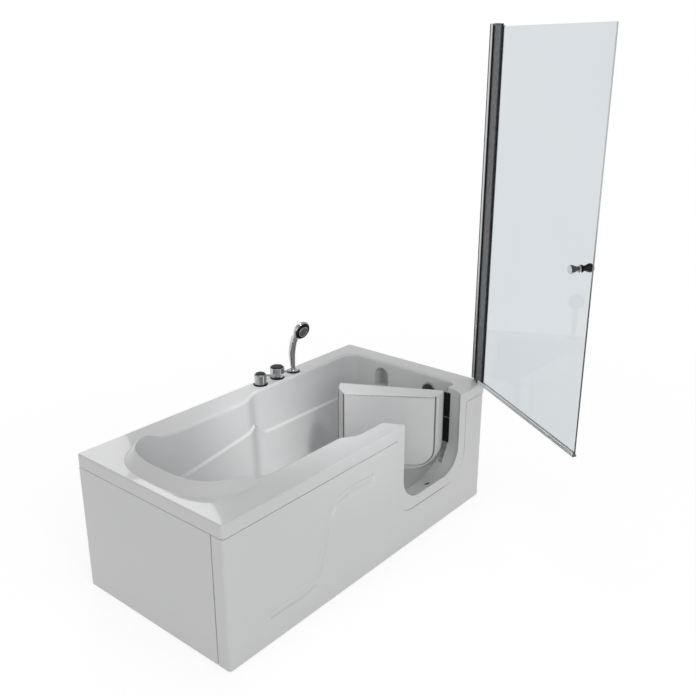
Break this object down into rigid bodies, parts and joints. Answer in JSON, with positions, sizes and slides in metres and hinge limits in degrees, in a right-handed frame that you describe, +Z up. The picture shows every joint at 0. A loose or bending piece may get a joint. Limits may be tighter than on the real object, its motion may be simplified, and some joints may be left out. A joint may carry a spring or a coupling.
{
  "type": "walk-in bathtub",
  "caption": "Rectangular walk-in bathtub with an inward swinging door, raised headrest collar, deck taps, hand shower and pivoting glass screen.",
  "frame": {"origin": "on the floor under the middle of the tub, at the underside of the middle levelling foot", "axes": "+Z up, +X towards the foot end with the glass screen, +Y towards the wall behind the tub; the door is in the front at -Y"},
  "size_m": [1.524, 1.3817, 1.994],
  "materials": {
    "tub_acrylic": "gloss",
    "door_acrylic": "gloss",
    "frame_steel": "galvanised satin",
    "foot_steel": "zinc plated",
    "seal_rubber": "matte",
    "screen_rubber": "matte",
    "hinge_steel": "satin",
    "black_plastic": "satin",
    "chrome": "mirror",
    "nut_brass": "machined",
    "pipe_plastic": "satin",
    "shower_chrome": "mirror",
    "spray_disc": "satin",
    "screen_aluminium": "polished",
    "grey_plastic": "satin",
    "profile_grey": "satin",
    "rail_chrome": "polished",
    "knob_black": "black coated cast metal",
    "knob_chrome": "mirror",
    "screen_glass": "clear"
  },
  "bodies": {
    "tub": {"tub_shell": "tub_acrylic", "front_apron": "tub_acrylic", "head_end_panel": "tub_acrylic", "support_frame": "frame_steel", "levelling_foot_1": "foot_steel", "levelling_foot_2": "foot_steel", "levelling_foot_3": "foot_steel", "levelling_foot_4": "foot_steel", "levelling_foot_5": "foot_steel", "levelling_foot_6": "foot_steel", "levelling_foot_7": "foot_steel", "sill_drain_grommet": "seal_rubber", "hinge_jamb_leaf": "hinge_steel", "hinge_pin": "hinge_steel", "hinge_cover_lower": "black_plastic", "hinge_cover_band": "chrome", "hinge_cover_upper": "black_plastic", "latch_keeper": "chrome", "drain_flange": "chrome", "drain_trap_bowl": "pipe_plastic", "waste_pipe": "pipe_plastic", "overflow_plate": "chrome", "overflow_body": "pipe_plastic", "overflow_hose": "pipe_plastic", "flow_valve_body": "chrome", "flow_valve_escutcheon": "chrome", "flow_valve_locknut": "nut_brass", "temperature_valve_body": "chrome", "temperature_valve_escutcheon": "chrome", "temperature_valve_locknut": "nut_brass", "hand_shower_socket": "chrome", "hand_shower_locknut": "nut_brass", "screen_wall_channel": "screen_aluminium", "screen_bracket_lower": "grey_plastic", "screen_bracket_upper": "grey_plastic"},
    "tub_door": {"door_outer_skin": "door_acrylic", "door_inner_liner": "door_acrylic", "door_gasket": "seal_rubber", "door_panel_bead": "seal_rubber", "hinge_door_leaf": "hinge_steel", "latch_base": "chrome"},
    "door_latch": {"latch_lever": "chrome"},
    "screen": {"screen_pivot_profile": "profile_grey", "screen_glass_gasket": "screen_rubber", "screen_glass": "screen_glass", "screen_bottom_rail": "rail_chrome", "rail_cap_pivot_side": "rail_chrome", "rail_cap_free_side": "grey_plastic", "screen_knob_outside": "knob_chrome", "screen_knob_inside": "black_plastic"},
    "flow_handle": {"flow_valve_handle": "chrome", "flow_valve_cap": "black_plastic"},
    "temperature_handle": {"temperature_valve_handle": "chrome", "temperature_valve_cap": "black_plastic"},
    "hand_shower": {"hand_shower_handle": "shower_chrome", "hand_shower_face_ring": "black_plastic", "hand_shower_spray_disc": "spray_disc"},
    "overflow_control": {"overflow_knob": "knob_black"},
    "stopper": {"drain_stopper": "chrome"}
  },
  "joints": [
    {"name": "tub_door_hinge", "type": "hinge", "parent": "tub", "child": "tub_door", "pos_m": [0.591, -0.269, 0.41], "axis": [0, 0, 1], "range_deg": [-34.5, 55.5]},
    {"name": "door_latch_turn", "type": "hinge", "parent": "tub_door", "child": "door_latch", "pos_m": [0.38199, 0.06569, 0.415], "axis": [0.8743, 0.4855, 0], "range_deg": [-90, 0]},
    {"name": "screen_pivot", "type": "hinge", "parent": "tub", "child": "screen", "pos_m": [0.73, -0.3635, 1.27], "axis": [0, 0, 1], "range_deg": [-58.3, 36.7]},
    {"name": "flow_lever_turn", "type": "hinge", "parent": "tub", "child": "flow_handle", "pos_m": [0.117, 0.34, 0.59], "axis": [0, 0, 1], "range_deg": [-45, 45]},
    {"name": "temperature_lever_turn", "type": "hinge", "parent": "tub", "child": "temperature_handle", "pos_m": [0.219, 0.34, 0.59], "axis": [0, 0, 1], "range_deg": [-45, 45]},
    {"name": "hand_shower_lift", "type": "slide", "parent": "tub", "child": "hand_shower", "axis": [0, 0, 1], "range_m": [0, 0.15]},
    {"name": "overflow_knob_turn", "type": "hinge", "parent": "tub", "child": "overflow_control", "pos_m": [0.67016, -0.152, 0.481], "axis": [-0.9994, 0, 0.0335], "range_deg": [0, 90]},
    {"name": "stopper_lift", "type": "slide", "parent": "tub", "child": "stopper", "axis": [0, 0, 1], "range_m": [0, 0.007]}
  ],
  "couplings": [
    {"joint": "stopper_lift", "follows": "overflow_knob_turn", "m_per_rad": 0.004456}
  ]
}
